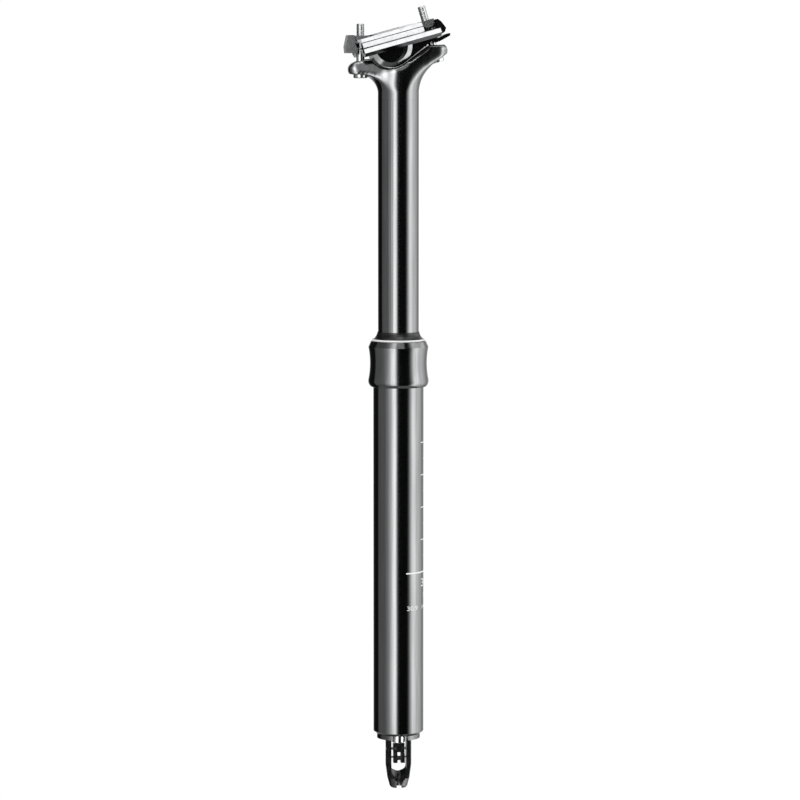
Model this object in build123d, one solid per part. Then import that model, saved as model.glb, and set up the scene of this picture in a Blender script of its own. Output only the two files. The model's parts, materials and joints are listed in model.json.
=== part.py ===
from build123d import *
import os
from math import cos, sin, tan, radians

# Telescopic (dropper) seatpost, millimetres. The post's axis is Z, the bicycle's rear is +X.
# The origin lies on the post's axis, in the plane of the collar's lower face, where the
# frame's seat clamp stops at the deepest insertion.

# --- driving dimensions -----------------------------------------------------------------
TUBE_R = 15.45            # outer tube, for a 30.9 mm seat tube
TUBE_BORE_R = 13.2
TUBE_THREAD_R = 15.0      # top of the tube, inside the collar
TUBE_BOTTOM = -215.4
TUBE_TOP = 16.0
TUBE_CHAMFER = 2.1
KEYWAY_R = 14.1
KEYWAY_W = 2.6
KEY_COUNT = 3

POST_R = 12.5             # sliding upper post
POST_BORE_R = 10.6
POST_BOTTOM = -56.5
POST_BORE_TOP = 174.0
NECK_TOP = 175.0          # where the forged head starts
NECK_Z = 178.5            # where the neck starts to flare
TRAVEL = 140.0            # stroke, down from the rest position
SLIDE_GAP = 0.04          # running fit of the bushings

COLLAR_TOP = 28.0
COLLAR_BEAD_R = 18.4
COLLAR_WAIST_R = 17.43
LIP_TOP = 33.6            # top of the wiper's lip

ROD_R = 4.1
ROD_BORE_R = 1.6
ROD_BOTTOM = -221.0
PISTON_BOTTOM = -43.8
PISTON_TOP = -37.8
CYLINDER_R = 10.0
CYLINDER_BORE_R = 8.3
CYLINDER_TOP = 172.0
CAP_R = 13.27
CAP_BOTTOM = -218.1

CAGE_R = 8.0
CAGE_FLAT = 3.5           # half the depth between the milled flats
CAGE_WINDOW = 4.7         # half the window's width
CAGE_BOTTOM = -249.4
HOUSING_R = 2.6           # seat for the outer cable housing
CLOCKING = -2.8           # degrees the screwed-on actuator stands round from the head
PIVOT_Y, PIVOT_Z = -1.8, -225.0
ANCHOR_Y, ANCHOR_Z = -3.2, -230.8
STOP_Y, STOP_Z = 2.6, -231.2
STOP_R = 0.6
LEVER_W = 7.0
PIN_R = 0.8

TILT = 15.5               # slope of the saddle rails against the post's square
CENTRE_X, CENTRE_Z = -5.8, 207.3   # the axis that the cradle rocks about
CRADLE_R = 12.9
TROUGH_R = 13.25
RAIL_Y = 22.0             # half the spacing of the saddle rails
RAIL_R = 3.5
RAIL_V = 3.4              # height of the rails over the rocking axis, across the rails
WING_Y = 27.6
WING_DRAFT = 1.0          # how far each wing's side leans in towards its top
WING_U = 19.1             # half the length of the rail grip
CRADLE_REAR = 29.0
BELLY_Y = 9.3             # half the belly's width, without its raised rims
RIM_W = 2.9
RIM_RISE = 1.7

BOLT_R = 2.5              # M5
BOLT_HEAD_R = 4.25
BOLT_HEAD_H = 3.7
WASHER_R = 4.2
SEAT_R = 4.45
SLOT_HALF = 3.1           # half the width of the bolt slots
FRONT_SEAT = (-23.3, 191.6)
FRONT_LEAN = 0.0
FRONT_TIP = 29.2
FRONT_NUT = 21.8
REAR_SEAT = (23.1, 201.1)
REAR_LEAN = 16.8
REAR_TIP = 31.6
REAR_NUT = 22.55


# --- shared shapes ----------------------------------------------------------------------
def ring(outer, inner, z0, z1):
    """A plain ring between two heights."""
    body = Pos(0, 0, (z0 + z1) / 2) * Cylinder(outer, z1 - z0)
    if inner:
        body -= Pos(0, 0, (z0 + z1) / 2) * Cylinder(inner, z1 - z0 + 1)
    return body


def turned(points):
    """A solid of revolution about the post's axis from an (r, z) outline."""
    outline = make_face(Polyline(*[(r, 0, z) for r, z in points], close=True))
    return revolve(outline, Axis.Z, 360)


def slab(points, y0, y1):
    """A side outline in X and Z, as thick as y0 to y1."""
    face = make_face(Polyline(*[(x, y0, z) for x, z in points], close=True))
    return extrude(face, amount=y1 - y0, dir=(0, 1, 0))


def block(x0, x1, y0, y1, z0, z1):
    """A box from its two corners."""
    centre = Pos((x0 + x1) / 2, (y0 + y1) / 2, (z0 + z1) / 2)
    return centre * Box(x1 - x0, y1 - y0, z1 - z0)


def cross_bar(radius, x, z, y0, y1):
    """A round bar along Y."""
    return Pos(x, (y0 + y1) / 2, z) * Rot(90, 0, 0) * Cylinder(radius, y1 - y0)


def largest(shape):
    """The biggest solid of a cut shape."""
    return max(shape.solids(), key=lambda s: s.volume)


def rails_frame(shape):
    """From the rails' own frame (u along them, v across) to the post's frame."""
    return Pos(CENTRE_X, 0, CENTRE_Z) * Rot(0, -TILT, 0) * shape


def bolt_frame(seat, lean, shape):
    """From a bolt's own frame, its washer's flat at the origin, to the post's frame."""
    return Pos(seat[0], 0, seat[1]) * Rot(0, -lean, 0) * shape


def clocked(shape):
    """Turn an actuator piece round the post to where the thread leaves it."""
    return Rot(0, 0, CLOCKING) * shape


# --- outer tube and what is fixed to it ---------------------------------------------------
def outer_tube():
    c = TUBE_CHAMFER
    body = turned([(TUBE_BORE_R, TUBE_BOTTOM), (TUBE_R - c, TUBE_BOTTOM),
                   (TUBE_R, TUBE_BOTTOM + 1.8), (TUBE_R, 0), (TUBE_THREAD_R, 0),
                   (TUBE_THREAD_R, TUBE_TOP), (TUBE_BORE_R, TUBE_TOP)])
    mid = (TUBE_BOTTOM + 10 + TUBE_TOP) / 2
    height = TUBE_TOP - TUBE_BOTTOM - 10
    for i in range(KEY_COUNT):
        way = Box(KEYWAY_R, KEYWAY_W, height)
        way = Rot(0, 0, 360 * i / KEY_COUNT) * Pos(KEYWAY_R / 2, 0, mid) * way
        body -= way & ring(KEYWAY_R, 0, TUBE_BOTTOM, TUBE_TOP + 1)
    return body


def collar():
    """Screwed on the tube's top; a waisted grip with a bevelled shoulder."""
    waist = ThreePointArc((COLLAR_BEAD_R, 0, 4.5), (COLLAR_WAIST_R, 0, 14.4),
                          (COLLAR_BEAD_R, 0, 24.3))
    foot = ThreePointArc((17.0, 0, 0), (17.75, 0, 0.9), (COLLAR_BEAD_R, 0, 4.5))
    rest = Polyline((COLLAR_BEAD_R, 0, 24.3), (16.8, 0, COLLAR_TOP), (14.05, 0, COLLAR_TOP),
                    (14.05, 0, 16.3), (TUBE_THREAD_R + 0.02, 0, 16.3),
                    (TUBE_THREAD_R + 0.02, 0, 0), (17.0, 0, 0))
    return revolve(make_face([waist, foot, rest]), Axis.Z, 360)


def upper_bushing():
    return ring(14.0, POST_R + SLIDE_GAP, 17.2, 25.2)


def bushing_spacer():
    """Holds the upper bushing off the tube's end."""
    return ring(14.0, POST_R + 0.4, TUBE_TOP + 0.05, 17.15)


def wiper():
    """Rubber wiper: a body in the collar and a conical lip that rubs the post."""
    return turned([(POST_R + 0.35, 25.3), (14.0, 25.3), (14.0, COLLAR_TOP + 0.1),
                   (15.3, COLLAR_TOP + 0.1), (15.25, 29.3), (14.4, 30.0), (13.6, 31.2),
                   (13.05, 32.5), (12.8, LIP_TOP), (POST_R + SLIDE_GAP, LIP_TOP - 0.5),
                   (POST_R + SLIDE_GAP, 31.6), (POST_R + 0.35, 31.0)])


def wiper_ring():
    """Light ring that holds the wiper's foot down on the collar."""
    return ring(16.2, 15.35, COLLAR_TOP + 0.05, COLLAR_TOP + 1.2)


def bottom_plug():
    """Screwed into the tube's bottom; its bore holds the rod."""
    return ring(TUBE_BORE_R - 0.05, ROD_R + 0.01, TUBE_BOTTOM + 0.05, -209.5)


def bottom_bumper():
    """Stops the sliding post at the end of its stroke."""
    body = ring(12.0, 5.0, POST_BOTTOM - TRAVEL - 13, POST_BOTTOM - TRAVEL - 0.5)
    return body - ring(13, 10.8, POST_BOTTOM - TRAVEL - 9, POST_BOTTOM - TRAVEL - 5)


def piston_rod():
    body = ring(ROD_R, ROD_BORE_R, ROD_BOTTOM, PISTON_BOTTOM)
    neck = ring(2.8, ROD_BORE_R, PISTON_BOTTOM, PISTON_TOP - 0.8)
    rim = ROD_R - 0.7
    cone = Pos(0, 0, ROD_BOTTOM + 0.6) * Cone(rim, ROD_BORE_R, 1.2)
    return body + neck - cone


def piston():
    body = ring(CYLINDER_BORE_R - SLIDE_GAP, 2.82, PISTON_BOTTOM + 0.02, PISTON_TOP)
    body -= ring(9, 7.2, -42.0, -39.6)
    for i in range(6):
        body -= Rot(0, 0, 60 * i) * Pos(4.9, 0, -41) * Cylinder(0.9, 10)
    return body


def piston_seal():
    return ring(CYLINDER_BORE_R - SLIDE_GAP, 7.25, -41.8, -39.8)


# --- sliding post -----------------------------------------------------------------------
def head_side():
    """Side outline of the forged head: two ears, a round trough and a straight flank."""
    cx, cz = CENTRE_X, CENTRE_Z
    front = (cx - TROUGH_R * cos(radians(33.9)), 0, cz - TROUGH_R * sin(radians(33.9)))
    end = (cx + TROUGH_R * sin(radians(39)), 0, cz - TROUGH_R * cos(radians(39)))
    top = 207.9
    ramp = (end[0] + (top - end[2]) / tan(radians(36.4)), 0, top)
    return make_face([
        ThreePointArc(front, (cx, 0, cz - TROUGH_R), end),
        Polyline(end, ramp, (27.6, 0, 208.4)),
        ThreePointArc((27.6, 0, 208.4), (30.1, 0, 205.4), (28.4, 0, 201.3)),
        Polyline((28.4, 0, 201.3), (21.7, 0, 196.7), (21.7, 0, NECK_TOP), (-22.4, 0, NECK_TOP),
                 (-22.4, 0, 189.6), (-29.4, 0, 189.6)),
        ThreePointArc((-29.4, 0, 189.6), (-31.2, 0, 193.3), (-28.2, 0, 197.4)),
        Polyline((-28.2, 0, 197.4), (-23.3, 0, 198.9), front),
    ])


def ear_plan():
    """Plan of the head: wide over the post and narrow at the two ears."""
    def flank(s):
        crown = ThreePointArc((-4.0, s * 12.4, NECK_TOP), (0, s * 12.6, NECK_TOP),
                              (4.0, s * 12.4, NECK_TOP))
        front = ThreePointArc((-27.6, s * 6.5, NECK_TOP), (-16.0, s * 10.5, NECK_TOP),
                              (-4.0, s * 12.4, NECK_TOP))
        return [front, crown,
                Line((4.0, s * 12.4, NECK_TOP), (26.4, s * 8.0, NECK_TOP))]

    def tip(x0, half, x1):
        return Polyline((x0, -half, NECK_TOP), (x1, -4.2, NECK_TOP), (x1, 4.2, NECK_TOP),
                        (x0, half, NECK_TOP))
    return make_face(flank(1) + flank(-1) + [tip(-27.6, 6.5, -31.4), tip(26.4, 8.0, 30.3)])


def flare(arc_mid, arc_end, rim):
    """The neck's round flare from the post's tube out to the underside of an ear."""
    start = (POST_R, 0, NECK_Z)
    outline = make_face([
        Polyline((rim[0], 0, rim[1]), (rim[0], 0, 215), (0, 0, 215), (0, 0, NECK_TOP),
                 (POST_R, 0, NECK_TOP), start),
        ThreePointArc(start, (arc_mid[0], 0, arc_mid[1]), (arc_end[0], 0, arc_end[1])),
        Line((arc_end[0], 0, arc_end[1]), (rim[0], 0, rim[1])),
    ])
    return revolve(outline, Axis.Z, 360)


def bolt_slot(seat, lean, swing):
    """Slot, hollow seat and head pocket for a bolt that leans as the saddle tilts."""
    w = SLOT_HALF - 0.2
    slot = block(-swing, swing, -w, w, 0, 20)
    seat_round = cross_bar(SEAT_R, 0, 0, -5.2, 5.2)
    pocket = block(-5.4, 5.4, -5.2, 5.2, -12, 0)
    return bolt_frame(seat, lean, slot + seat_round + pocket)


def stanchion():
    """Post tube and forged head in one piece."""
    head = extrude(head_side(), amount=13, dir=(0, 1, 0), both=True)
    head = head & extrude(ear_plan(), amount=45, dir=(0, 0, 1))
    head = fillet(head.edges().filter_by(Axis.Z).filter_by(lambda e: abs(e.center().X) > 26), 2.5)
    front = flare((15.76, 186.37), (22.4, 189.56), (45, 189.6))
    rear = flare((15.75, 190.2), (21.74, 196.7), (45, 212.8))
    head = (head & front & block(-40, 0, -20, 20, 170, 215)) + (
        head & rear & block(0, 40, -20, 20, 170, 215))
    body = ring(POST_R, 0, POST_BOTTOM, 190)
    body -= cross_bar(TROUGH_R, CENTRE_X, CENTRE_Z, -20, 20)
    body = body + head
    body -= ring(POST_BORE_R, 0, POST_BOTTOM - 1, POST_BORE_TOP)
    groove = ring(POST_R + 1, 11.95, -54.0, -42.0)
    body -= groove
    body -= bolt_slot(FRONT_SEAT, FRONT_LEAN, 3.3)
    body -= bolt_slot(REAR_SEAT, REAR_LEAN + 1.3, 3.6)
    for i in range(KEY_COUNT):
        body -= Rot(0, 0, 360 * i / KEY_COUNT) * Pos(POST_R, 0, -33) * Box(1.7, 2.5, 10)
    return largest(body)


def guide_keys():
    """Brass keys that stop the post turning in the tube."""
    keys = []
    for i in range(KEY_COUNT):
        key = Pos(12.85, 0, -33) * Box(2.3, 2.46, 9.9)
        keys.append(Rot(0, 0, 360 * i / KEY_COUNT) * key)
    return Compound(children=keys)


def lower_bushing():
    return ring(TUBE_BORE_R - SLIDE_GAP, 11.97, -53.9, -42.1)


def gas_cylinder():
    return ring(CYLINDER_R, CYLINDER_BORE_R, -51.4, CYLINDER_TOP)


def cylinder_gland():
    body = ring(CYLINDER_BORE_R - 0.05, ROD_R + SLIDE_GAP, -51.4, -46.0)
    return body - ring(5.9, 3, -49.8, -47.8)


def rod_seal():
    return ring(5.85, ROD_R + SLIDE_GAP, -49.75, -47.85)


def top_out_bumper():
    return ring(CYLINDER_BORE_R - 0.1, ROD_R + 0.5, -45.95, -44.1)


def floating_piston():
    body = ring(CYLINDER_BORE_R - SLIDE_GAP, 0, 114, 120)
    body -= ring(9, 7.2, 116, 118)
    return body - ring(6.3, 0, 117.5, 121)


def floating_seal():
    return ring(CYLINDER_BORE_R - SLIDE_GAP, 7.25, 116.1, 117.9)


def cylinder_plug():
    body = ring(CYLINDER_BORE_R - 0.05, 0, 165.5, CYLINDER_TOP)
    return body - ring(2.0, 0, 169.5, CYLINDER_TOP + 1)


def cartridge_nut():
    """Screwed into the post's foot; two flats in its bore take a key."""
    body = ring(POST_BORE_R - 0.05, ROD_R + 0.6, POST_BOTTOM, -51.45)
    return body - block(-9.2, 9.2, -1.5, 1.5, POST_BOTTOM - 1, -55)


# --- saddle clamp -----------------------------------------------------------------------
def rail_grooves():
    """The two saddle rails, as cutters."""
    bars = []
    for side in (-1, 1):
        bar = Pos(0, side * RAIL_Y, RAIL_V) * Rot(0, 90, 0) * Cylinder(RAIL_R, 90)
        bars.append(bar)
    return bars[0] + bars[1]


def wing_section(points, u0, u1):
    """A clamp section in Y and v, as long as u0 to u1."""
    face = make_face(Polyline(*[(u0, y, v) for y, v in points], close=True))
    return extrude(face, amount=u1 - u0, dir=(1, 0, 0))


def mirrored(points):
    """A section's right half and its reflection."""
    return points + [(-y, v) for y, v in reversed(points)]


def nut_trough(seat, lean, nut, half):
    """Half-round trough for a barrel nut and the slot for its bolt, as a cutter."""
    trough = cross_bar(WASHER_R + 0.35, 0, nut, -half, half)
    slot = block(-3.75, 3.4, -SLOT_HALF, SLOT_HALF, nut - 25, nut + 6)
    over = block(-WASHER_R - 0.35, WASHER_R + 0.35, -half, half, nut, nut + 6)
    return bolt_frame(seat, lean, trough + slot + over)


def upper_clamp():
    """Top half of the rail clamp: two wings, a front nose and a rear boss for the nuts."""
    base = RAIL_V + 0.4
    plate = wing_section(mirrored([(WING_Y, base), (WING_Y - WING_DRAFT, 6.8), (24.6, 9.1)]),
                         -WING_U, WING_U)
    plate -= rail_grooves()
    for side in (-1, 1):
        plate -= block(-11, 11, side * 12.6 - 4.2, side * 12.6 + 4.2, 6.2, 12)
    plate = fillet(plate.edges().filter_by(Axis.Z).filter_by(lambda e: abs(e.center().X) < 12), 2.5)
    plate -= block(-30, -11.5, -9, 9, -5, 12)
    rear = slab([(10, base), (29.4, base), (29.9, 0.2), (31.6, -1.3), (34.3, -0.6), (35.8, 1.6),
                 (33.8, 6.3), (32.2, 8.2), (10, 9.0)], -7, 7)
    rear = fillet(rear.edges().filter_by(Axis.Y).filter_by(lambda e: e.center().X > 31), 0.8)
    body = rails_frame(plate + rear)
    nose = slab([(-33.0, 207.0), (-32.6, 203.0), (-25.9, 203.0), (-25.9, 205.8), (-27.6, 209.0),
                 (-16.0, 208.0), (-10.0, 209.8), (-10.0, 215.4), (-16.6, 213.9), (-31.5, 213.9)],
                -7, 7)
    nose = fillet(nose.edges().filter_by(Axis.Y).filter_by(lambda e: e.center().X < -32.8), 1.5)
    taper = Polyline((-34, -4.9, 200), (-22, -7, 200), (-9, -7, 200), (-9, 7, 200), (-22, 7, 200),
                     (-34, 4.9, 200), close=True)
    nose = nose & extrude(make_face(taper), amount=20, dir=(0, 0, 1))
    boss = Pos(FRONT_SEAT[0], 0, 208.2) * Cone(3.9, 5.6, 5.4)
    body = body + nose + boss
    body -= nut_trough(FRONT_SEAT, FRONT_LEAN, FRONT_NUT, 7.5)
    body -= nut_trough(REAR_SEAT, REAR_LEAN, REAR_NUT, 7.5)
    return largest(body)


def lower_cradle():
    """Bottom half of the rail clamp: it rocks in the head's trough on a round belly."""
    top = RAIL_V - 0.4
    plate = wing_section(mirrored([(WING_Y - WING_DRAFT, top), (WING_Y, 0.4), (23.0, -1.9),
                                   (14.0, -1.2), (12.0, -0.8)]), -WING_U, CRADLE_REAR)
    plate -= rail_grooves()
    belly_r = CRADLE_R
    a = radians(39 - TILT)
    left = (-12.87, -0.9)
    tang = (belly_r * sin(a), -belly_r * cos(a))
    face = make_face([
        ThreePointArc((left[0], 0, left[1]), (0, 0, -belly_r), (tang[0], 0, tang[1])),
        Polyline((tang[0], 0, tang[1]), (26.1, 0, -3.2), (CRADLE_REAR, 0, -2.6),
                 (CRADLE_REAR, 0, 1.0), (left[0], 0, 1.0), (left[0], 0, left[1]))])
    belly = extrude(face, amount=BELLY_Y, dir=(0, 1, 0), both=True)
    for side in (-1, 1):
        rim = Pos(0, side * (BELLY_Y + RIM_RISE / 2), 0) * Rot(-90 * side, 0, 0)
        rim = rim * Cone(belly_r, belly_r - RIM_W, RIM_RISE)
        belly += rim & block(left[0], 14, -12, 12, -14, -1.0)
    for side in (-1, 1):
        pocket = cross_bar(belly_r - RIM_W, 0, 0, side * 8 - 4, side * 8 + 4)
        pocket &= block(-8.6, 12, -13, 13, -12, -1.4)
        belly -= pocket
    tongue = slab([(24.0, -3.3), (27.2, -5.4), (30.0, -5.2), (37.0, -3.6), (37.4, -2.4),
                   (36.6, -1.2), (30.0, -2.9), (24.0, -2.6)], -6.5, 6.5)
    body = plate + belly + tongue
    body -= block(-30, -12.2, -11.2, 11.2, -5, 8)
    body -= block(22.2, 29.8, -SLOT_HALF, SLOT_HALF, -12, 8)
    body -= block(28.4, 40.0, -7.6, 7.6, -2.0, 8)
    return rails_frame(largest(body))


def clamp_bolt(seat, lean, tip):
    """M5 cap screw, its head below the seat and a socket in the head."""
    shank = ring(BOLT_R, 0, -1, tip)
    shank = chamfer(shank.edges().sort_by(Axis.Z)[-1], 0.5)
    head = ring(BOLT_HEAD_R, 0, -BOLT_HEAD_H, 0)
    head = chamfer(head.edges().sort_by(Axis.Z)[0], 0.5)
    body = head + shank
    socket = RegularPolygon(2.3, 6, major_radius=True)
    body -= Pos(0, 0, -BOLT_HEAD_H) * extrude(socket, amount=2.4)
    return bolt_frame(seat, lean, body)


def clamp_washer(seat, lean):
    """Half-round washer that lets the bolt lean in its ear."""
    body = cross_bar(WASHER_R, 0, 0, -4.6, 4.6) & block(-6, 6, -6, 6, 0.02, 6)
    return bolt_frame(seat, lean, body - ring(BOLT_R + 0.03, 0, -1, 8))


def barrel_nut(seat, lean, height):
    """Half-round threaded nut lying in the clamp's trough."""
    bar = cross_bar(WASHER_R, 0, height, -6.4, 6.4)
    body = bar & block(-6, 6, -7, 7, height - 6, height + 0.2)
    return bolt_frame(seat, lean, body - ring(BOLT_R + SLIDE_GAP, 0, 0, 40))


# --- cable actuator ---------------------------------------------------------------------
def actuator_cage():
    """Flanged cage screwed under the tube: two legs, a window and the housing's seat."""
    body = turned([(0, TUBE_BOTTOM), (CAP_R, TUBE_BOTTOM), (CAP_R, CAP_BOTTOM),
                   (CAGE_R, CAP_BOTTOM), (CAGE_R, -235.0), (6.9, -243.2), (6.1, -246.0),
                   (5.5, -248.4), (4.7, CAGE_BOTTOM), (0, CAGE_BOTTOM)])
    for side in (-1, 1):
        flat = block(-12, 12, 0, 12, -243.4, CAP_BOTTOM)
        body -= Pos(0, side * CAGE_FLAT, 0) * Rot(0, 0, 90 - side * 90) * flat
    window = block(-CAGE_WINDOW, CAGE_WINDOW, -20, 20, -239.4, TUBE_BOTTOM + 1)
    window = fillet(window.edges().filter_by(Axis.Y).sort_by(Axis.Z)[0:2], 3.2)
    body -= window
    ramp = Pos(0, 4.0, -234.2) * Rot(31, 0, 0) * cross_bar(CAGE_WINDOW, 0, 0, -16, 0)
    body -= ramp
    body -= ring(HOUSING_R, 0, CAGE_BOTTOM - 1, -245.2)
    body -= block(-1.6, 1.6, -12, 0, CAGE_BOTTOM - 1, -245.2)
    body -= block(-0.9, 0.9, -12, 0.9, -246, -236)
    hole = Pos(0, PIVOT_Y, PIVOT_Z) * Rot(0, 90, 0) * Cylinder(PIN_R + 0.01, 30)
    body -= hole
    body -= Pos(0, STOP_Y, STOP_Z) * Rot(0, 90, 0) * Cylinder(STOP_R + 0.01, 30)
    return clocked(largest(body))


def pivot_pin():
    """Pin that the lever turns on, held in both legs."""
    return clocked(Pos(0, PIVOT_Y, PIVOT_Z) * Rot(0, 90, 0) * Cylinder(PIN_R, 14.2))


def stop_pin():
    """Pin behind the lever that its tines meet at full pull."""
    return clocked(Pos(0, STOP_Y, STOP_Z) * Rot(0, 90, 0) * Cylinder(STOP_R, 14.2))


def actuator_lever():
    """Bell crank: its cam lifts the release pin when the cable pulls its tines."""
    half = LEVER_W / 2
    side = [(-3.4, -227.4), (-3.4, -221.6), (-0.6, -221.6), (1.6, -222.4), (1.6, -225.6),
            (-0.6, -227.6), (-0.6, -233.6), (-5.0, -233.6), (-5.0, -228.6)]
    face = make_face(Polyline(*[(-half, y, z) for y, z in side], close=True))
    body = extrude(face, amount=LEVER_W, dir=(1, 0, 0))
    cam = Pos(0, 0.2, -222.8) * Rot(0, 90, 0) * Cylinder(1.5, 4.0)
    body = body + cam
    body -= block(-1.05, 1.05, -8, 4, -236, -227.2)
    body -= Pos(0, PIVOT_Y, PIVOT_Z) * Rot(0, 90, 0) * Cylinder(PIN_R + SLIDE_GAP, 20)
    body -= Pos(0, ANCHOR_Y, ANCHOR_Z) * Rot(0, 90, 0) * Cylinder(1.43, 20)
    body -= block(-half - 1, -2.1, -9, PIVOT_Y, -225.9, -224.1)
    body -= block(2.1, half + 1, -9, PIVOT_Y, -225.9, -224.1)
    return clocked(largest(body))


def cable_anchor():
    """Cross barrel in the tines with a hole for the inner cable."""
    body = Pos(0, ANCHOR_Y, ANCHOR_Z) * Rot(0, 90, 0) * Cylinder(1.4, LEVER_W - 0.2)
    body -= Pos(0, ANCHOR_Y, ANCHOR_Z) * Cylinder(0.8, 6)
    body -= Pos(2.4, ANCHOR_Y, ANCHOR_Z) * Rot(0, 90, 0) * Cylinder(0.76, 3)
    return clocked(body)


def anchor_screw():
    """Grub screw that pinches the cable in the anchor."""
    body = Pos(2.2, ANCHOR_Y, ANCHOR_Z) * Rot(0, 90, 0) * Cylinder(0.75, 2.4)
    return clocked(body)


def release_pin():
    """Long valve pin in the rod's bore with its poppet over the piston."""
    pin = ring(ROD_BORE_R - 0.3, 0, -220.65, -38.4)
    poppet = turned([(0, -38.4), (1.3, -38.4), (2.6, -37.55), (2.6, -36.2), (0, -36.2)])
    return pin + poppet


NODES = {
    "outer_tube": outer_tube, "collar": collar, "upper_bushing": upper_bushing,
    "bushing_spacer": bushing_spacer, "wiper": wiper, "wiper_ring": wiper_ring,
    "bottom_plug": bottom_plug, "bottom_bumper": bottom_bumper, "piston_rod": piston_rod,
    "piston": piston, "piston_seal": piston_seal, "stanchion": stanchion,
    "guide_keys": guide_keys, "lower_bushing": lower_bushing, "gas_cylinder": gas_cylinder,
    "cylinder_gland": cylinder_gland, "rod_seal": rod_seal, "top_out_bumper": top_out_bumper,
    "floating_piston": floating_piston, "floating_seal": floating_seal,
    "cylinder_plug": cylinder_plug, "cartridge_nut": cartridge_nut,
    "upper_clamp": upper_clamp, "lower_cradle": lower_cradle,
    "front_bolt": lambda: clamp_bolt(FRONT_SEAT, FRONT_LEAN, FRONT_TIP),
    "rear_bolt": lambda: clamp_bolt(REAR_SEAT, REAR_LEAN, REAR_TIP),
    "front_washer": lambda: clamp_washer(FRONT_SEAT, FRONT_LEAN),
    "rear_washer": lambda: clamp_washer(REAR_SEAT, REAR_LEAN),
    "front_nut": lambda: barrel_nut(FRONT_SEAT, FRONT_LEAN, FRONT_NUT),
    "rear_nut": lambda: barrel_nut(REAR_SEAT, REAR_LEAN, REAR_NUT),
    "actuator_cage": actuator_cage, "pivot_pin": pivot_pin, "stop_pin": stop_pin,
    "actuator_lever": actuator_lever, "cable_anchor": cable_anchor,
    "anchor_screw": anchor_screw, "release_pin": release_pin,
}

os.makedirs("parts", exist_ok=True)
for name, make in NODES.items():
    export_step(make(), f"parts/{name}.step")
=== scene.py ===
import json
import math

import bmesh
import bpy
import numpy as np
from mathutils import Matrix, Vector


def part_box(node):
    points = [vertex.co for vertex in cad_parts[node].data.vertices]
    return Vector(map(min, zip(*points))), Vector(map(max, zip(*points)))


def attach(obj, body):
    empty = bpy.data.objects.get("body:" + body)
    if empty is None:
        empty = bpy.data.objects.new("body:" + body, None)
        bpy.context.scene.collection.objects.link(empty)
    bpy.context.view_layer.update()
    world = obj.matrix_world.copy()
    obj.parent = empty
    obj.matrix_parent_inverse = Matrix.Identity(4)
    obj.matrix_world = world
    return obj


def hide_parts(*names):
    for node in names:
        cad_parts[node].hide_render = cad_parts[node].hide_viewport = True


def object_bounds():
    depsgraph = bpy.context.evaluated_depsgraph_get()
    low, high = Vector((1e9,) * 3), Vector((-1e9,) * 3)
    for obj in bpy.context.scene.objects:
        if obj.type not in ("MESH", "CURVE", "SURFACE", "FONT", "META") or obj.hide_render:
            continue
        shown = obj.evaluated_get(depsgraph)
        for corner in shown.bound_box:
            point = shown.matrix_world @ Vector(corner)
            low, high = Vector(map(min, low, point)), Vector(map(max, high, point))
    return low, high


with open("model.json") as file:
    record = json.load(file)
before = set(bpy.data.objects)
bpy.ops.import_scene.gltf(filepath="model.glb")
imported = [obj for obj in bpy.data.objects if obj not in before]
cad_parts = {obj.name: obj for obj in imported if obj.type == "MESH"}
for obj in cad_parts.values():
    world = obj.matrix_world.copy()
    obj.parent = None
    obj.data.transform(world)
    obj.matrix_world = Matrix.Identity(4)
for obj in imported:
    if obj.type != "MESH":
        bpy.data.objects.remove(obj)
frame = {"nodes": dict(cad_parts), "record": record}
CAD_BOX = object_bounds()
RECORD = frame["record"]
SLOT_OF = {row["node"]: row["material_slot"] for row in RECORD["subparts"]}
JOINT = {j["name"]: j for j in RECORD["behaviour"]["joints"]}
MM = 0.001
SHARP_FROM = math.radians(40)


# --- materials --------------------------------------------------------------------------
GRAIN_DETAIL = 4
RELIEF_STRENGTH = 0.5
# The grain's darkest and lightest tint: position in the grain, factor on the colour.
TINTS = ((0.3, 0.88), (0.7, 1.12))


def material(name, colour, metallic, roughness, spread, scale, bump=0.0, streak=(1, 1, 1),
             gleam=0.5):
    """Metal, rubber or plastic with a fine procedural grain in colour, gloss and relief."""
    m = bpy.data.materials.new(name)
    m.use_nodes = True
    nodes, links = m.node_tree.nodes, m.node_tree.links
    shader = nodes["Principled BSDF"]
    shader.inputs["Metallic"].default_value = metallic
    shader.inputs["Specular IOR Level"].default_value = gleam
    place = nodes.new("ShaderNodeTexCoord")
    mapping = nodes.new("ShaderNodeMapping")
    mapping.inputs["Scale"].default_value = streak
    noise = nodes.new("ShaderNodeTexNoise")
    noise.inputs["Scale"].default_value = scale
    noise.inputs["Detail"].default_value = GRAIN_DETAIL
    links.new(place.outputs["Object"], mapping.inputs["Vector"])
    links.new(mapping.outputs["Vector"], noise.inputs["Vector"])
    shade = nodes.new("ShaderNodeMapRange")
    shade.inputs["To Min"].default_value = roughness - spread
    shade.inputs["To Max"].default_value = roughness + spread
    links.new(noise.outputs["Fac"], shade.inputs["Value"])
    links.new(shade.outputs["Result"], shader.inputs["Roughness"])
    tint = nodes.new("ShaderNodeValToRGB")
    for stop, (position, factor) in zip(tint.color_ramp.elements, TINTS):
        stop.position = position
        stop.color = (*(c * factor for c in colour), 1)
    links.new(noise.outputs["Fac"], tint.inputs["Fac"])
    links.new(tint.outputs["Color"], shader.inputs["Base Color"])
    if bump:
        relief = nodes.new("ShaderNodeBump")
        relief.inputs["Strength"].default_value = RELIEF_STRENGTH
        relief.inputs["Distance"].default_value = bump
        links.new(noise.outputs["Fac"], relief.inputs["Height"])
        links.new(relief.outputs["Normal"], shader.inputs["Normal"])
    return m


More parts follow.
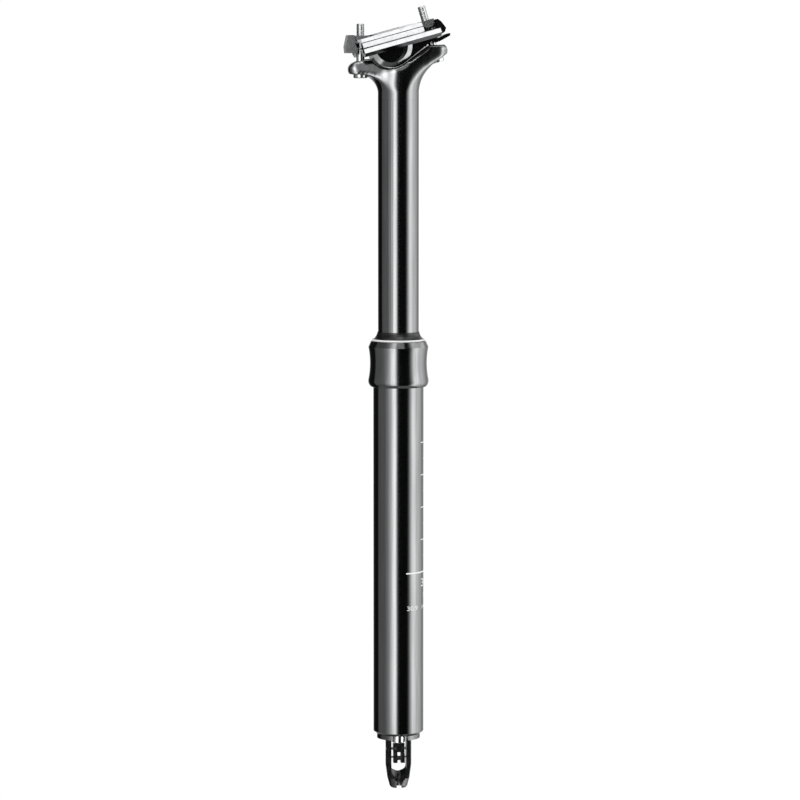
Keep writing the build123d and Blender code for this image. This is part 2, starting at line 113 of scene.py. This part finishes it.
# Each finish: colour, metallic, roughness, its spread, and the grain's scale.
FINISHES = {
    "black_anodised": dict(colour=(0.20, 0.203, 0.205), metallic=1.0, roughness=0.13,
                           spread=0.02, scale=500, streak=(1, 1, 0.05)),
    "black_forging": dict(colour=(0.21, 0.213, 0.215), metallic=1.0, roughness=0.12,
                          spread=0.02, scale=500, bump=0.001 * MM),
    "actuator_black": dict(colour=(0.17, 0.172, 0.175), metallic=1.0, roughness=0.24,
                           spread=0.04, scale=1200, bump=0.004 * MM),
    "wiper_rubber": dict(colour=(0.008, 0.008, 0.009), metallic=0.0, roughness=0.24,
                         spread=0.04, scale=1800, bump=0.004 * MM, gleam=0.4),
    "ring_white": dict(colour=(0.86, 0.86, 0.86), metallic=0.0, roughness=0.3, spread=0.04,
                       scale=1500),
    "seal_rubber": dict(colour=(0.02, 0.02, 0.02), metallic=0.0, roughness=0.55, spread=0.05,
                        scale=1800, bump=0.03 * MM),
    "bright_steel": dict(colour=(0.74, 0.74, 0.75), metallic=1.0, roughness=0.2, spread=0.05,
                         scale=1200, streak=(1, 1, 0.1)),
    "zinc_steel": dict(colour=(0.56, 0.565, 0.57), metallic=1.0, roughness=0.25, spread=0.05,
                       scale=1600, bump=0.01 * MM),
    "dark_steel": dict(colour=(0.12, 0.12, 0.125), metallic=1.0, roughness=0.35, spread=0.05,
                       scale=1600, bump=0.01 * MM),
    "bare_aluminium": dict(colour=(0.70, 0.70, 0.71), metallic=1.0, roughness=0.28,
                           spread=0.05, scale=900, streak=(1, 1, 6)),
    "bushing_polymer": dict(colour=(0.16, 0.18, 0.16), metallic=0.0, roughness=0.5,
                            spread=0.05, scale=1500, bump=0.02 * MM),
    "key_brass": dict(colour=(0.78, 0.58, 0.28), metallic=1.0, roughness=0.25, spread=0.05,
                      scale=1500, bump=0.01 * MM),
    "print_white": dict(colour=(0.82, 0.82, 0.82), metallic=0.0, roughness=0.45, spread=0.05,
                        scale=3000),
}
LOOKS = {name: material(name, **finish) for name, finish in FINISHES.items()}
for node, thing in frame["nodes"].items():
    thing.data.materials.clear()
    thing.data.materials.append(LOOKS[SLOT_OF[node]])


# --- making and placing meshes ------------------------------------------------------------
WELD = 0.002 * MM
FLAT_WITHIN = math.radians(0.7)


def placed(name, data):
    """A new object, linked into the scene."""
    thing = bpy.data.objects.new(name, data)
    bpy.context.scene.collection.objects.link(thing)
    return thing


def piece(name, mesh, body, slot):
    """A visual piece made in the CAD frame, riding on a CAD body."""
    thing = placed(name, mesh)
    mesh.materials.clear()
    mesh.materials.append(LOOKS[slot])
    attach(thing, body)
    return thing


def stand_in(node, mesh):
    """A visual piece that takes a CAD node's place, with its body and its finish."""
    body = next(b for b, nodes in RECORD["behaviour"]["bodies"].items() if node in nodes)
    thing = piece(node + "_shape", mesh, body, SLOT_OF[node])
    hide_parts(node)
    return thing


def boolean(thing, operation, other):
    """Cut or trim an object with another one."""
    step = thing.modifiers.new("boolean", "BOOLEAN")
    step.operation = operation
    step.solver = "EXACT"
    step.object = other


def evaluated_mesh(thing):
    """The mesh of an object with its modifiers applied."""
    bpy.context.view_layer.update()
    return bpy.data.meshes.new_from_object(
        thing.evaluated_get(bpy.context.evaluated_depsgraph_get()))


def even_shading(thing):
    """Weight the normals by face area, so that flats shade flat beside narrow bevels."""
    normals = thing.modifiers.new("normals", "WEIGHTED_NORMAL")
    normals.keep_sharp = True


def welded(mesh):
    """A bmesh of a CAD mesh, with the double points where its faces meet joined."""
    bm = bmesh.new()
    bm.from_mesh(mesh)
    bmesh.ops.remove_doubles(bm, verts=bm.verts, dist=WELD)
    return bm


def flattened(bm):
    """Join the triangles that lie almost in one plane."""
    bmesh.ops.dissolve_limit(bm, angle_limit=FLAT_WITHIN, verts=bm.verts, edges=bm.edges)


# --- softened copies of the machined and forged nodes -----------------------------------
BEVEL_FROM, BEVEL_SEGMENTS = math.radians(15), 2


def grooved(source, bars):
    """The mesh of a node with thin bars cut out of it."""
    thing = placed("work", source.data.copy())
    cutter = placed("bars", bars)
    boolean(thing, "DIFFERENCE", cutter)
    mesh = evaluated_mesh(thing)
    bpy.data.objects.remove(thing)
    bpy.data.objects.remove(cutter)
    return mesh


def softened(node, width, bars=None):
    """A copy of a CAD node with its sharp edges rounded by a small bevel."""
    source = frame["nodes"][node]
    bm = welded(grooved(source, bars) if bars else source.data)
    flattened(bm)
    mesh = bpy.data.meshes.new(node + "_soft")
    bm.to_mesh(mesh)
    bm.free()
    mesh.shade_smooth()
    thing = stand_in(node, mesh)
    edge = thing.modifiers.new("edges", "BEVEL")
    edge.width = width
    edge.segments = BEVEL_SEGMENTS
    edge.limit_method = "ANGLE"
    edge.angle_limit = BEVEL_FROM
    even_shading(thing)


# --- sliding post with its forged head ----------------------------------------------------
POST_R = 12.5 * MM
SPLIT_Z = 174.8 * MM         # the plain tube ends here and the blended head starts
NECK_Z = 178.5 * MM          # up to here the neck keeps the tube's radius
NECK_FADE = 3 * MM
NECK_SKIN = 1 * MM           # only points this near the tube's radius are brought back to it
GRAIN = 0.42 * MM            # voxel size of the head's surface
ROUNDS = 90                  # of smoothing
PULL = 0.6                   # how far a free point moves towards its neighbours each round

# The front ear's plan in millimetres: half width where x is EAR_X, and its taper. It meets the
# round neck in a hollow, tighter for a higher NECK_BLEND. The rear ear is left as wide as it is.
EAR_X, EAR_HALF, EAR_TAPER = -10, 8.9, 0.16
NECK_BLEND = 1.2
PLAN_REACH, REAR_HALF = 33, 14
# The ear's sides lean in upwards: (height in metres, what is added to the half width in mm).
# The lean starts a little in front of the post's axis and grows over a run, in millimetres.
EAR_LEAN = ((0.170, 2.9), (0.220, -3.1))
LEAN_START, LEAN_RUN = 4, 8

# Smoothing is held back on the fitted surfaces. Each hold is a distance, from the tilt axis, a
# bolt's seat or the split, and the run over which it lets go.
TILT_AXIS = (JOINT["saddle_tilt"]["pos_m"][0], JOINT["saddle_tilt"]["pos_m"][2])
BOLT_SEATS = [JOINT[name]["pos_m"][0] for name in ("front_bolt_swing", "rear_bolt_swing")]
TROUGH_HOLD = (13.3 * MM, 0.6 * MM)
SEAT_HOLD = (4 * MM, 4 * MM)
SEAT_SIDE_HOLD = (5.2 * MM, 0.4 * MM)
SPLIT_HOLD = (0.4 * MM, 2 * MM)
TROUGH_LEAST, SEAT_LEAST, SEAT_SIDE_MOST = 0.25, 0.05, 0.6


def cut_part(bm, z, upper):
    """Keep what is over or under a level plane, and close the cut."""
    result = bmesh.ops.bisect_plane(bm, geom=bm.verts[:] + bm.edges[:] + bm.faces[:],
                                    plane_co=(0, 0, z), plane_no=(0, 0, 1),
                                    clear_inner=upper, clear_outer=not upper)
    rim = [e for e in result["geom_cut"] if isinstance(e, bmesh.types.BMEdge)]
    bmesh.ops.contextual_create(bm, geom=rim)


def head_plan():
    """A prism that narrows the front ear in plan, with a hollow blend into the neck."""
    edge = []
    for x in range(-PLAN_REACH, PLAN_REACH + 1):
        neck = math.sqrt(max(0.0, (POST_R / MM) ** 2 - x * x))
        ear = EAR_HALF + EAR_TAPER * (x - EAR_X)
        blend = math.log(math.exp(NECK_BLEND * neck) + math.exp(NECK_BLEND * ear)) / NECK_BLEND
        edge.append((x, blend if x < 0 else REAR_HALF))
    verts = []
    for z, lean in EAR_LEAN:
        side = []
        for x, half in edge:
            share = min(1.0, max(0.0, (-x - LEAN_START) / LEAN_RUN))
            side.append((x * MM, (half + lean * share) * MM))
        verts += [(x, -y, z) for x, y in side] + [(x, y, z) for x, y in reversed(side)]
    count = len(verts) // 2
    faces = [tuple(reversed(range(count))), tuple(range(count, 2 * count))]
    faces += [(i, (i + 1) % count, (i + 1) % count + count, i + count) for i in range(count)]
    mesh = bpy.data.meshes.new("head_plan")
    mesh.from_pydata(verts, [], faces)
    return mesh


def head_block(bm):
    """The head's CAD shape trimmed to its plan and made into an even fine surface."""
    mesh = bpy.data.meshes.new("head_block")
    bm.to_mesh(mesh)
    block = placed("head_block", mesh)
    plan = placed("head_plan", head_plan())
    boolean(block, "INTERSECT", plan)
    remesh = block.modifiers.new("remesh", "REMESH")
    remesh.mode = "VOXEL"
    remesh.voxel_size = GRAIN
    head = evaluated_mesh(block)
    bpy.data.objects.remove(block)
    bpy.data.objects.remove(plan)
    return head


def rising(distance, hold, least=0.0):
    """From least to 1 as a distance passes through a hold."""
    start, run = hold
    return np.clip((distance - start) / run, least, 1)


def freedom(co):
    """How freely each point of the head moves in smoothing, low on its fitted surfaces."""
    from_axis = np.hypot(co[:, 0] - TILT_AXIS[0], co[:, 2] - TILT_AXIS[1])
    free = rising(from_axis, TROUGH_HOLD, TROUGH_LEAST)
    for seat in BOLT_SEATS:
        along = rising(np.abs(co[:, 0] - seat), SEAT_HOLD)
        beside = rising(np.abs(co[:, 1]), SEAT_SIDE_HOLD)
        free *= np.maximum(np.maximum(along, SEAT_SIDE_MOST * beside), SEAT_LEAST)
    free *= rising(co[:, 2] - SPLIT_Z, SPLIT_HOLD)
    return PULL * free[:, None]


def smooth_head(mesh):
    """Relax the head's surface, then bring its neck back onto the tube's radius."""
    count = len(mesh.vertices)
    co = np.empty(count * 3)
    mesh.vertices.foreach_get("co", co)
    co = co.reshape(-1, 3)
    ends = np.empty(len(mesh.edges) * 2, dtype=np.int64)
    mesh.edges.foreach_get("vertices", ends)
    one, two = ends[0::2], ends[1::2]
    neighbours = np.bincount(ends, minlength=count)[:, None]
    free = freedom(co)
    for _ in range(ROUNDS):
        total = np.zeros_like(co)
        for axis in range(3):
            total[:, axis] = (np.bincount(one, co[two, axis], count)
                              + np.bincount(two, co[one, axis], count))
        co += free * (total / neighbours - co)
    radius = np.hypot(co[:, 0], co[:, 1])
    hold = (1 - rising(co[:, 2], (NECK_Z, NECK_FADE))) * (radius > POST_R - NECK_SKIN)
    scale = 1 + hold * (POST_R / np.maximum(radius, 1e-6) - 1)
    co[:, :2] *= scale[:, None]
    mesh.vertices.foreach_set("co", co.ravel())


def forged_post():
    """The post's tube, and its head blended into the neck as a forging is."""
    upper = welded(frame["nodes"]["stanchion"].data)
    tube = upper.copy()
    cut_part(upper, SPLIT_Z, True)
    cut_part(tube, SPLIT_Z, False)
    flattened(tube)
    head = head_block(upper)
    upper.free()
    smooth_head(head)
    for edge in tube.edges:
        edge.smooth = edge.calc_face_angle(0) < SHARP_FROM
    tube.from_mesh(head)
    for face in tube.faces:
        face.smooth = True
    mesh = bpy.data.meshes.new("stanchion_shape")
    tube.to_mesh(mesh)
    tube.free()
    even_shading(stand_in("stanchion", mesh))


forged_post()


# --- camera, world and floor --------------------------------------------------------------
CAMERA_AT = Vector((-0.3123, -1.9722, 0.1837))
TO_CAMERA = Vector((CAMERA_AT.x, CAMERA_AT.y, 0)).normalized()
TO_RIGHT = Vector((-TO_CAMERA.y, TO_CAMERA.x, 0))
AIM = TO_RIGHT * 0.00098 + Vector((0, 0, -0.0085))
FLOOR_SIZE, FLOOR_DROP = 40, 0.05

camera = placed("camera", bpy.data.cameras.new("camera"))
camera.data.sensor_width = 36
camera.data.lens = 147.15
camera.data.clip_start = 0.05
camera.data.clip_end = 60
camera.location = CAMERA_AT
camera.rotation_euler = (AIM - CAMERA_AT).to_track_quat("-Z", "Y").to_euler()
bpy.context.scene.camera = camera

world = bpy.data.worlds.new("studio")
bpy.context.scene.world = world
world.use_nodes = True
sky = world.node_tree.nodes["Background"]
sky.inputs["Color"].default_value = (1, 1, 1, 1)
sky.inputs["Strength"].default_value = 1.03
bpy.context.scene.view_settings.view_transform = "Standard"


def plane(name, size, z):
    """A level square centred on the origin."""
    mesh = bpy.data.meshes.new(name)
    h = size / 2
    mesh.from_pydata([(-h, -h, z), (h, -h, z), (h, h, z), (-h, h, z)], [], [(0, 1, 2, 3)])
    return mesh


floor_look = bpy.data.materials.new("floor")
floor_look.use_nodes = True
paper = floor_look.node_tree.nodes["Principled BSDF"]
paper.inputs["Base Color"].default_value = (1, 1, 1, 1)
paper.inputs["Roughness"].default_value = 0.9
paper.inputs["Specular IOR Level"].default_value = 0.0
floor = placed("floor", plane("floor", FLOOR_SIZE, CAD_BOX[0].z - FLOOR_DROP))
floor.data.materials.append(floor_look)
floor.visible_glossy = False


# --- light tent and cards, which show only in reflections ---------------------------------
# Brightness round the light tent: degrees from the camera towards the right, radiance.
TENT = [(-180, 0.8), (-164, 0.5), (-152, 0.03), (-108, 0.01), (-101, 0.3), (-90, 0.31),
        (-66, 0.33), (-58, 0.45), (-46, 0.85), (-34, 1.75), (-23, 3.6), (-14, 4.3), (-9, 1.9),
        (-3, 0.12), (4, 0.01), (42, 0.01), (49, 0.35), (57, 1.4), (67, 3.2), (78, 3.2), (90, 2.3),
        (110, 1.7), (122, 1.3), (135, 0.6), (150, 0.5), (180, 0.8)]
TENT_PEAK = 4.3
TENT_R, TENT_SIDES = 1.0, 180
TENT_LOW, TENT_HIGH = -1.3, 1.5
# How the brightness changes with height: metres, factor.
LEVELS = [(-1.3, 0.75), (-0.6, 0.75), (-0.35, 1.0), (0.28, 1.0), (0.31, 1.4), (0.40, 1.4),
          (0.44, 0.9), (0.62, 0.6), (1.5, 0.6)]
LEVEL_PEAK = 1.4
# Cards bent about X in front of the head: name, lowest and highest elevation, strength.
HEAD_CARDS = (("head_card_dim", 8, 26.5, 0.7), ("head_card_low", 31.5, 52, 4.6),
              ("head_card_high", 73, 92, 4.6))
CARD_CENTRE_Z, CARD_R, CARD_HALF_WIDTH, CARD_STEPS = 0.21, 0.45, 0.13, 24
UNDER_SIZE, UNDER_Z, UNDER_STRENGTH = 2.4, -1.0, 0.3


def glowing(name, strength):
    """A plain emitting material for the studio's cards, and its emission node."""
    m = bpy.data.materials.new(name)
    m.use_nodes = True
    nodes, links = m.node_tree.nodes, m.node_tree.links
    nodes.clear()
    glow = nodes.new("ShaderNodeEmission")
    out = nodes.new("ShaderNodeOutputMaterial")
    glow.inputs["Strength"].default_value = strength
    links.new(glow.outputs[0], out.inputs["Surface"])
    return m, glow


def card(name, mesh, look):
    """A studio card that only shows in reflections."""
    thing = placed(name, mesh)
    mesh.materials.append(look)
    thing.visible_camera = False
    thing.visible_diffuse = False
    thing.visible_shadow = False
    thing.visible_transmission = False


def grey_ramp(nodes, links, source, rows, peak):
    """Greys that follow a value, given as (value, brightness) rows in rising order."""
    low, high = rows[0][0], rows[-1][0]
    ramp = nodes.new("ShaderNodeValToRGB")
    stops = ramp.color_ramp.elements
    for i, (value, brightness) in enumerate(rows):
        at, grey = (value - low) / (high - low), brightness / peak
        if i == 0:
            stop = stops[0]
        elif i == len(rows) - 1:
            stop = stops[-1]
        else:
            stop = stops.new(at)
        stop.position = at
        stop.color = (grey, grey, grey, 1)
    links.new(source, ramp.inputs["Fac"])
    return ramp.outputs["Color"]


def share_of(nodes, links, source, low, high):
    """Where a value lies between two others, from 0 to 1."""
    share = nodes.new("ShaderNodeMapRange")
    share.inputs["From Min"].default_value = low
    share.inputs["From Max"].default_value = high
    links.new(source, share.inputs["Value"])
    return share.outputs["Result"]


def tent_look():
    """Light that changes round the tent, as TENT says, and with height, as LEVELS says."""
    look, glow = glowing("tent", TENT_PEAK)
    nodes, links = look.node_tree.nodes, look.node_tree.links
    place = nodes.new("ShaderNodeTexCoord")
    turn = nodes.new("ShaderNodeMapping")
    turn.inputs["Rotation"].default_value[2] = -math.atan2(TO_CAMERA.y, TO_CAMERA.x)
    links.new(place.outputs["Object"], turn.inputs["Vector"])
    axes = nodes.new("ShaderNodeSeparateXYZ")
    links.new(turn.outputs["Vector"], axes.inputs["Vector"])
    angle = nodes.new("ShaderNodeMath")
    angle.operation = "ARCTAN2"
    links.new(axes.outputs["Y"], angle.inputs[0])
    links.new(axes.outputs["X"], angle.inputs[1])
    round_share = share_of(nodes, links, angle.outputs[0], -math.pi, math.pi)
    links.new(grey_ramp(nodes, links, round_share, TENT, TENT_PEAK), glow.inputs["Color"])
    height_share = share_of(nodes, links, axes.outputs["Z"], TENT_LOW, TENT_HIGH)
    power = nodes.new("ShaderNodeMath")
    power.operation = "MULTIPLY"
    power.inputs[1].default_value = TENT_PEAK * LEVEL_PEAK
    links.new(grey_ramp(nodes, links, height_share, LEVELS, LEVEL_PEAK), power.inputs[0])
    links.new(power.outputs[0], glow.inputs["Strength"])
    return look


def tent_wall():
    """An open upright cylinder round the object."""
    mesh = bpy.data.meshes.new("tent")
    bm = bmesh.new()
    bmesh.ops.create_cone(bm, segments=TENT_SIDES, radius1=TENT_R, radius2=TENT_R,
                          depth=TENT_HIGH - TENT_LOW, cap_ends=False)
    bmesh.ops.translate(bm, verts=bm.verts, vec=(0, 0, (TENT_LOW + TENT_HIGH) / 2))
    bm.to_mesh(mesh)
    bm.free()
    return mesh


def arc_card(name, low, high, strength):
    """A curved card over the front of the head, bent about X, between two elevations."""
    verts, faces = [], []
    for i in range(CARD_STEPS + 1):
        a = math.radians(low + (high - low) * i / CARD_STEPS)
        for x in (-CARD_HALF_WIDTH, CARD_HALF_WIDTH):
            verts.append((x, -CARD_R * math.cos(a), CARD_CENTRE_Z + CARD_R * math.sin(a)))
        if i:
            k = 2 * i
            faces.append((k - 2, k - 1, k + 1, k))
    mesh = bpy.data.meshes.new(name)
    mesh.from_pydata(verts, [], faces)
    card(name, mesh, glowing(name, strength)[0])


card("tent", tent_wall(), tent_look())
card("under", plane("under", UNDER_SIZE, UNDER_Z), glowing("under", UNDER_STRENGTH)[0])
for name, low, high, strength in HEAD_CARDS:
    arc_card(name, low, high, strength)


# --- bolts with real thread, in millimetres until they are placed --------------------------
BOLT_R, BOLT_HEAD_R, BOLT_HEAD_FOOT = 2.5, 4.25, -3.7
SOCKET_FLOOR = -1.3
SOCKET_HALF_FLAT = 2.3 * math.cos(math.pi / 6)
THREAD_LENGTH, THREAD_PITCH, THREAD_DEPTH = 15.0, 0.8, 0.32
STEPS_A_TURN, FADE_STEPS = 10, 12
GROOVE_SLOPE, CREST = 1.7, 0.25
TIP_GAP = 0.45               # the thread stops this far from the bolt's end
TIP_FACE_R = 2.0             # of the CAD bolt's end face, whose edge is its highest point
NO_RADIUS = 1e-4
# Rounded rims, as (along the bolt, inward): of the head round its socket, and of the thread end.
HEAD_RIM = ((0, 0.6), (0.1, 0.3), (0.5, 0))
TIP_RIM = ((0.4, 0.15), (0.05, 0.5), (0, 0.6))
HEAD_SEAT_RIM = 0.1


def lathe(name, rows, columns=48):
    """A turned mesh. Each row is (z, radius) or (z, function of the angle)."""
    verts, faces = [], []
    for z, r in rows:
        for c in range(columns):
            a = 2 * math.pi * c / columns
            radius = r(a) if callable(r) else r
            verts.append((radius * math.cos(a), radius * math.sin(a), z))
    for i in range(len(rows) - 1):
        for c in range(columns):
            d = (c + 1) % columns
            faces.append((i * columns + c, i * columns + d, (i + 1) * columns + d,
                          (i + 1) * columns + c))
    last = (len(rows) - 1) * columns
    faces.append(tuple(range(columns - 1, -1, -1)))
    faces.append(tuple(range(last, last + columns)))
    mesh = bpy.data.meshes.new(name)
    mesh.from_pydata(verts, [], faces)
    mesh.shade_smooth()
    return mesh


def hexagon(a):
    """The socket's radius at an angle."""
    return SOCKET_HALF_FLAT / math.cos((a + math.pi / 6) % (math.pi / 3) - math.pi / 6)


def thread(z, cut):
    """The thread's radius round the bolt at a height, for a cut from 0 to 1 of full depth."""
    def radius(a):
        phase = (z / THREAD_PITCH - a / (2 * math.pi)) % 1.0
        groove = min(1.0, max(0.0, GROOVE_SLOPE * abs(2 * phase - 1) - CREST))
        return BOLT_R - THREAD_DEPTH * cut * groove
    return radius


def threaded_bolt(node, swing, lean, tip):
    """Cap screw in the place of the plain CAD bolt, with its thread cut at the free end."""
    start = tip - THREAD_LENGTH
    rows = [(SOCKET_FLOOR, NO_RADIUS), (SOCKET_FLOOR, hexagon), (BOLT_HEAD_FOOT, hexagon)]
    rows += [(BOLT_HEAD_FOOT + up, BOLT_HEAD_R - inward) for up, inward in HEAD_RIM]
    rows += [(-HEAD_SEAT_RIM, BOLT_HEAD_R), (0, BOLT_HEAD_R - HEAD_SEAT_RIM), (0, BOLT_R),
             (start, BOLT_R)]
    step = THREAD_PITCH / STEPS_A_TURN
    for i in range(1, int((tip - TIP_GAP - start) / step)):
        z = start + i * step
        rows.append((z, thread(z, min(1.0, i / FADE_STEPS))))
    rows += [(tip - down, BOLT_R - inward) for down, inward in TIP_RIM]
    rows.append((tip, NO_RADIUS))
    mesh = lathe(node + "_thread", rows)
    mesh.transform(Matrix.Translation(swing) @ Matrix.Rotation(-lean, 4, "Y")
                   @ Matrix.Scale(MM, 4))
    mesh.set_sharp_from_angle(angle=SHARP_FROM)
    stand_in(node, mesh)


for node, swing, run in (("front_bolt", "front_bolt_swing", "front_nut_run"),
                         ("rear_bolt", "rear_bolt_swing", "rear_nut_run")):
    seat = Vector(JOINT[swing]["pos_m"])
    along = Vector(JOINT[run]["axis"])
    lean = math.atan2(-along.x, along.z)
    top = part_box(node)[1].z - seat.z
    tip = (top - TIP_FACE_R * MM * math.sin(lean)) / math.cos(lean) / MM
    threaded_bolt(node, seat, lean, tip)


# --- white print on the outer tube, heights in millimetres --------------------------------
TUBE_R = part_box("outer_tube")[1].x
PRINT_IN, PRINT_OUT = TUBE_R - 0.05 * MM, TUBE_R + 0.03 * MM
ARC_STEP = 0.6 * MM          # a printed line bends in steps of about this size
STRIP = 0.7 * MM             # letters are cut into strips about this wide, to bend round the tube
LETTER_CURVE_STEPS = 3
LETTER_WELD = 1e-5           # in the text's own units
MARK_PAIRS, FIRST_MARK_Z, MARK_GAP = 4, -34, 10
LONG_MARK, SHORT_MARK, MARK_HEIGHT = 9.9, 5.6, 0.6
LIMIT_LINE_Z, LIMIT_LINE, LIMIT_LINE_HEIGHT = -114.0, 21.8, 0.9
# Numbers under the marks: text, height on the tube, letters' height, width along the arc.
NUMBERS = (("30.9", -120.6, 5.0, 19.0), ("140", -128.6, 3.0, 11.0),
           ("30.9   140   480   25.0", -135.7, 2.8, 42.4))


def band(bm, z, half_arc, height):
    """A printed line round the tube, centred on its rear side."""
    steps = max(4, int(half_arc / ARC_STEP) * 2)
    rings = []
    for i in range(steps + 1):
        a = (2 * i / steps - 1) * half_arc / TUBE_R
        rings.append([bm.verts.new((r * math.cos(a), r * math.sin(a), zz))
                      for r, zz in ((PRINT_IN, z - height / 2), (PRINT_OUT, z - height / 2),
                                    (PRINT_OUT, z + height / 2), (PRINT_IN, z + height / 2))])
    for one, two in zip(rings, rings[1:]):
        for k in range(4):
            bm.faces.new((one[k], two[k], two[(k + 1) % 4], one[(k + 1) % 4]))
    bm.faces.new(rings[0])
    bm.faces.new(list(reversed(rings[-1])))


def text_mesh(text):
    """Raised text as a mesh, lying level."""
    curve = bpy.data.curves.new("numerals", "FONT")
    curve.body = text
    curve.align_x = "CENTER"
    curve.align_y = "CENTER"
    curve.resolution_u = LETTER_CURVE_STEPS
    curve.extrude = 1.0
    thing = placed("numerals", curve)
    bpy.context.view_layer.update()
    mesh = bpy.data.meshes.new_from_object(thing)
    bpy.data.objects.remove(thing)
    return mesh


def numerals(bm, text, z, height, width):
    """Printed numbers wrapped on the tube's rear side."""
    mesh = text_mesh(text)
    part = bmesh.new()
    part.from_mesh(mesh)
    bmesh.ops.remove_doubles(part, verts=part.verts, dist=LETTER_WELD)
    xs = [v.co.x for v in part.verts]
    ys = [v.co.y for v in part.verts]
    left, right, low, high = min(xs), max(xs), min(ys), max(ys)
    across, up = width / (right - left), height / (high - low)
    cuts = int(width / STRIP)
    for i in range(1, cuts):
        bmesh.ops.bisect_plane(part, geom=part.verts[:] + part.edges[:] + part.faces[:],
                               plane_co=(left + (right - left) * i / cuts, 0, 0),
                               plane_no=(1, 0, 0))
    for v in part.verts:
        a = (v.co.x - (right + left) / 2) * across / TUBE_R
        r = PRINT_OUT if v.co.z > 0 else PRINT_IN
        v.co = (r * math.cos(a), r * math.sin(a), z + (v.co.y - (high + low) / 2) * up)
    part.to_mesh(mesh)
    part.free()
    bm.from_mesh(mesh)


print_mesh = bpy.data.meshes.new("scale_print")
bm = bmesh.new()
for i in range(MARK_PAIRS):
    z = FIRST_MARK_Z - 2 * MARK_GAP * i
    band(bm, z * MM, LONG_MARK * MM, MARK_HEIGHT * MM)
    band(bm, (z - MARK_GAP) * MM, SHORT_MARK * MM, MARK_HEIGHT * MM)
band(bm, LIMIT_LINE_Z * MM, LIMIT_LINE * MM, LIMIT_LINE_HEIGHT * MM)
for text, z, height, width in NUMBERS:
    numerals(bm, text, z * MM, height * MM, width * MM)
bm.to_mesh(print_mesh)
bm.free()
piece("scale_print", print_mesh, "outer_post", "print_white")


# --- rail clamp, actuator, nuts, ring and collar with softened edges -----------------------
# Bars that cut a fine line along the upper clamp's wings, in the rails' frame, millimetres.
LINE_Y, LINE_Z, LINE_TURN = 26.6, 6.8, math.radians(30)
LINE_LENGTH, LINE_WIDTH, LINE_DEPTH = 39.6, 1.3, 0.5
UPPER_CLAMP_EDGE = 0.35
EDGES = {"lower_cradle": 0.5, "actuator_cage": 0.2, "actuator_lever": 0.2, "front_nut": 0.15,
         "rear_nut": 0.15, "wiper_ring": 0.25, "collar": 0.2}

RAIL_AXIS = Vector(next(m["axis"] for m in RECORD["mounts"] if m["name"] == "rail_left"))
RAILS_FRAME = Matrix.Translation(JOINT["saddle_tilt"]["pos_m"]) @ Matrix.Rotation(
    -math.atan2(abs(RAIL_AXIS.z), abs(RAIL_AXIS.x)), 4, "Y")


def wing_lines():
    """Two thin bars along the upper clamp's wings, where the bevel meets the side."""
    bm = bmesh.new()
    for side in (-1, 1):
        bmesh.ops.create_cube(bm, size=1, matrix=(
            RAILS_FRAME @ Matrix.Translation((0, side * LINE_Y * MM, LINE_Z * MM))
            @ Matrix.Rotation(side * LINE_TURN, 4, "X")
            @ Matrix.Diagonal((LINE_LENGTH * MM, LINE_WIDTH * MM, LINE_DEPTH * MM, 1))))
    mesh = bpy.data.meshes.new("wing_lines")
    bm.to_mesh(mesh)
    bm.free()
    return mesh


softened("upper_clamp", UPPER_CLAMP_EDGE * MM, bars=wing_lines())
for node, width in EDGES.items():
    softened(node, width * MM)
